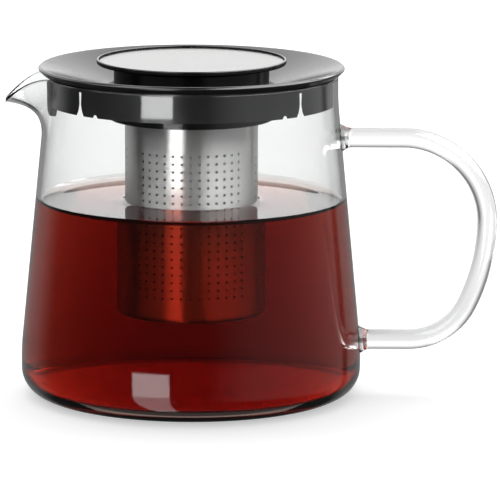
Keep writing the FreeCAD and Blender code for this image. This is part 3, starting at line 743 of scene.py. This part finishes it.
skirt = {
    "outer": 62.7, "inner": 60.9, "top": 143.9, "bottom": 130.9, "topRound": 0.3, "bottomRound": 0.4,
    "tabBottom": 126.8, "tabHalf": 19.4, "tabTaper": 4.0, "tabRound": 0.8, "tabFrom": -50, "tabOverlap": 0.5,
    "slit": 47.2, "slitShape": [(1.5, 0), (0.8, 2.0), (0.35, 5.0), (0.5, 10.4)],   # half width, height
    "notch": 40.6, "notchShape": [(1, 0), (0.4, 1.3)],
    "below": 4, "aside": 70, "beyond": 90, "steps": 256, "longest": 3.0, "sharpAngle": 30,
}
tabBottom, bottom = skirt["tabBottom"], skirt["bottom"]
below, beyond = tabBottom - skirt["below"], skirt["beyond"]
skirtCorners = [
    (skirt["inner"], tabBottom, skirt["bottomRound"]), (skirt["outer"], tabBottom, skirt["bottomRound"]),
    (skirt["outer"], skirt["top"], skirt["topRound"]), (skirt["inner"], skirt["top"], skirt["topRound"]),
]
skirtBlack = turnedPiece("skirtBlack", skirtCorners, glossPlastic, skirt["sharpAngle"],
                         skirt["steps"], skirt["longest"], closed=True)


def openingCut(middle, shape):
    mouth = shape[0][0]
    outline = [(middle - mouth, below), (middle + mouth, below)]
    outline += [(middle + half, bottom + height) for half, height in shape]
    outline += [(middle - half, bottom + height) for half, height in reversed(shape)]
    return prism(outline, -beyond, beyond)


tabFrom, tabEnd = skirt["tabFrom"], skirt["tabFrom"] + skirt["tabOverlap"]
tabSide = [
    (skirt["tabHalf"] - skirt["tabTaper"], below), (skirt["aside"], below), (skirt["aside"], bottom),
    (skirt["tabHalf"], bottom), (skirt["tabHalf"] - skirt["tabTaper"] * skirt["tabRound"], tabBottom),
]
otherSide = [(-y, z) for y, z in reversed(tabSide)]
cuts = [prism([(tabFrom, below), (beyond, below), (beyond, bottom), (tabFrom, bottom)], -beyond, beyond),
        prism(tabSide, -beyond, tabEnd, alongX=True), prism(otherSide, -beyond, tabEnd, alongX=True)]
for side in (-1, 1):
    cuts.append(openingCut(side * skirt["slit"], skirt["slitShape"]))
    cuts.append(openingCut(side * skirt["notch"], skirt["notchShape"]))
cutAway(skirtBlack, cuts, skirt["sharpAngle"])
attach(skirtBlack, "lid")
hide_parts("lid_skirt")
print("lid made")


# floor: pale for the eye, see-through for mirrored rays and far off for rays through the glass

floor = {
    "half": 3000.0, "drop": 0.15, "rough": 0.9, "pale": 0.8, "shown": 1.0, "lit": 0.5, "throughGlass": 0.35,
    "reach": 0.14, "fade": 0.5, "glow": 1.3, "glowRadius": 0.058, "shadeRadius": 0.076, "shadeSlope": 40,
    "mirrorFrom": 0.5,
}
floorPaint, tree, shader = newMaterial("floorPaint", Roughness=floor["rough"], Specular_IOR_Level=0,
                                       Emission_Color=(1, 1, 1, 1))
paths = addNode(tree, "ShaderNodeLightPath")
cameraRay, throughRay = paths.outputs["Is Camera Ray"], paths.outputs["Is Transmission Ray"]
seen = addMath(tree, "MAXIMUM", cameraRay, addMath(tree, "MULTIPLY", throughRay, floor["throughGlass"]))
paleness = addMath(tree, "MULTIPLY_ADD", seen, floor["shown"] - floor["pale"], floor["pale"])
grey = addNode(tree, "ShaderNodeCombineColor")
for socket in grey.inputs:
    link(tree, paleness, socket)
link(tree, grey.outputs[0], shader.inputs["Base Color"])
fromPot = addNode(tree, "ShaderNodeVectorMath", operation="LENGTH")
link(tree, addNode(tree, "ShaderNodeNewGeometry").outputs["Position"], fromPot.inputs[0])
distance = fromPot.outputs["Value"]
# rays through the glass see a glow under the pot and a shade round its foot
glow = addMath(tree, "LESS_THAN", distance, floor["glowRadius"])
pastFoot = addMath(tree, "SUBTRACT", distance, floor["shadeRadius"])
shade = addMath(tree, "MULTIPLY", pastFoot, floor["shadeSlope"], clamp=True)
emission = addMath(tree, "MULTIPLY", addMath(tree, "MULTIPLY", seen, floor["lit"]), shade)
emission = addMath(tree, "MULTIPLY_ADD", glow, floor["glow"], emission)
emission = addMath(tree, "MULTIPLY", emission, throughRay)
emission = addMath(tree, "MAXIMUM", addMath(tree, "MULTIPLY", cameraRay, floor["lit"]), emission)
link(tree, emission, shader.inputs["Emission Strength"])
pastReach = addMath(tree, "SUBTRACT", distance, floor["reach"])
hidden = addMath(tree, "DIVIDE", pastReach, floor["fade"], clamp=True)
hidden = addMath(tree, "MULTIPLY", hidden, throughRay)
mirrored = addMath(tree, "GREATER_THAN", paths.outputs["Glossy Depth"], floor["mirrorFrom"])
blend = addNode(tree, "ShaderNodeMixShader")
link(tree, addMath(tree, "MAXIMUM", hidden, mirrored), blend.inputs[0])
link(tree, shader.outputs[0], blend.inputs[1])
link(tree, addNode(tree, "ShaderNodeBsdfTransparent").outputs[0], blend.inputs[2])
link(tree, blend.outputs[0], tree.nodes["Material Output"].inputs["Surface"])
half, drop = floor["half"], floor["drop"]
floorPoints = [(-half, -half, -drop), (half, -half, -drop), (half, half, -drop), (-half, half, -drop)]
table = addPiece("table", floorPoints, [(0, 1, 2, 3)], floorPaint)
print("floor made")


# world: soft panels of light, each painted over what lies under it

panel, enter, leave = newGroup(
    "softPanel",
    [("Azimuth", "NodeSocketFloat", 0), ("Elevation", "NodeSocketFloat", 0), ("Under", "NodeSocketFloat", 0),
     ("Light", "NodeSocketFloat", 1), ("Centre", "NodeSocketFloat", 0), ("Half Width", "NodeSocketFloat", 20),
     ("Middle", "NodeSocketFloat", 0), ("Half Height", "NodeSocketFloat", 20),
     ("Side Edge", "NodeSocketFloat", 2), ("End Edge", "NodeSocketFloat", 2)],
    [("Light", "NodeSocketFloat")])


def softMask(away, halfLabel, edgeLabel):
    within = addMath(panel, "SUBTRACT", enter.outputs[halfLabel], away)
    within = addMath(panel, "DIVIDE", within, enter.outputs[edgeLabel])
    return addMath(panel, "ADD", within, 0.5, clamp=True)


aside = addMath(panel, "SUBTRACT", enter.outputs["Azimuth"], enter.outputs["Centre"])
aside = addMath(panel, "ABSOLUTE", addMath(panel, "WRAP", aside, 180, -180))
above = addMath(panel, "SUBTRACT", enter.outputs["Elevation"], enter.outputs["Middle"])
above = addMath(panel, "ABSOLUTE", above)
mask = addMath(panel, "MULTIPLY", softMask(aside, "Half Width", "Side Edge"),
               softMask(above, "Half Height", "End Edge"))
link(panel, addBlend(panel, mask, enter.outputs["Under"], enter.outputs["Light"]), leave.inputs[0])

# light, centre and half width round the pot, middle and half height, soft edge of sides and ends, in
# degrees; 0 faces the camera and + is to its right
mirrorPanels = [
    (0.70, 0, 400, 18, 11, 2, 8),
    (0.30, 180, 60, -14, 16, 20, 10),
    (1.45, 180, 32, 9, 9, 24, 6),
    (0.36, 82, 54, -12, 12, 30, 8),
    (1.65, 180, 73, 44, 28, 8, 8),
    (4.40, -66, 26, 45, 26, 6, 8),
    (0.90, 2, 17, 45, 26, 3, 6),
    (8.20, 84, 62, 45, 26, 10, 8),
    (0.05, -100, 7, 20, 80, 3, 20),
    (0.08, 130, 4, 20, 80, 3, 20),
    (4.80, -26.5, 12.5, 45, 26, 1.6, 4),
    (2.60, -26.5, 12.5, -38, 28, 1.6, 1.6),
    (5.50, -26.5, 12.5, -9.3, 4.4, 1.6, 1.2),
]
throughPanels = [
    (0.30, 0, 400, 70, 40, 2, 26),
    (0.25, -139, 16, 0, 120, 22, 2),
    (0.20, 139, 16, 0, 120, 22, 2),
]
diffusePanels = [(1.6, 180, 75, 58, 34, 50, 30)]
studio = {"mirror": 0.05, "through": 1.08, "diffuse": 0.35, "camera": 1.0,   # light where no panel is
          "mirrorFrom": 0.5, "deepFrom": 7.5, "deepGain": 0.7, "againFrom": 1.5, "againGain": -0.75}

world = bpy.data.worlds.new("studio")
scene.world = world
world.use_nodes = True
tree = world.node_tree
tree.nodes.clear()
toDegrees = 180 / math.pi
alongX, alongY, alongZ = splitPlace(tree, "Generated")
azimuth = addMath(tree, "ARCTAN2", alongX, addMath(tree, "MULTIPLY", alongY, -1))
azimuth = addMath(tree, "MULTIPLY", azimuth, toDegrees)
elevation = addMath(tree, "MULTIPLY", addMath(tree, "ARCSINE", alongZ), toDegrees)


def layered(base, panels):
    light = addMath(tree, "ADD", base, 0)
    for strength, centre, width, middle, height, sideEdge, endEdge in panels:
        spot = placeGroup(tree, panel, Azimuth=azimuth, Elevation=elevation, Under=light, Light=strength,
                          Centre=centre, **{"Half Width": width, "Middle": middle, "Half Height": height,
                                            "Side Edge": sideEdge, "End Edge": endEdge})
        light = spot.outputs[0]
    return light


def changed(light, depth, limit, gain):
    # light for paths that went deeper than the limit
    isDeep = addMath(tree, "GREATER_THAN", depth, limit)
    return addMath(tree, "MULTIPLY", light, addMath(tree, "MULTIPLY_ADD", isDeep, gain, 1.0))


paths = addNode(tree, "ShaderNodeLightPath")
mirrorDepth = paths.outputs["Glossy Depth"]
mirrorLight = layered(studio["mirror"], mirrorPanels)
mirrorLight = changed(mirrorLight, paths.outputs["Transmission Depth"],
                      studio["deepFrom"], studio["deepGain"])
mirrorLight = changed(mirrorLight, mirrorDepth, studio["againFrom"], studio["againGain"])
light = layered(studio["through"], throughPanels)
mirrored = addMath(tree, "GREATER_THAN", mirrorDepth, studio["mirrorFrom"])
light = addBlend(tree, mirrored, light, mirrorLight)
light = addBlend(tree, paths.outputs["Is Diffuse Ray"], light, layered(studio["diffuse"], diffusePanels))
light = addBlend(tree, paths.outputs["Is Camera Ray"], light, studio["camera"])
sky = addNode(tree, "ShaderNodeBackground")
sky.inputs["Color"].default_value = (1, 1, 1, 1)
link(tree, light, sky.inputs["Strength"])
link(tree, sky.outputs[0], addNode(tree, "ShaderNodeOutputWorld").inputs[0])
world.cycles.sampling_method = "NONE"

scene.cycles.max_bounces = 24
scene.cycles.transmission_bounces = 24
scene.cycles.glossy_bounces = 12
scene.cycles.caustics_refractive = False
scene.cycles.caustics_reflective = False
scene.view_settings.view_transform = "Standard"
print("world made")


# camera: far off, looking a little down

view = {"place": (0.02615, -2.150, 0.457), "down": 10.232, "roll": 0.24,
        "sensor": 36, "lens": 353.3, "clipEnd": 20}
lens = bpy.data.cameras.new("camera")
lens.sensor_width = view["sensor"]
lens.lens = view["lens"]
lens.clip_end = view["clipEnd"]
camera = bpy.data.objects.new("camera", lens)
scene.collection.objects.link(camera)
camera.location = view["place"]
tilt = Matrix.Rotation(math.radians(90 - view["down"]), 3, "X")
camera.rotation_euler = (tilt @ Matrix.Rotation(math.radians(view["roll"]), 3, "Z")).to_euler()
scene.camera = camera
print("camera made")
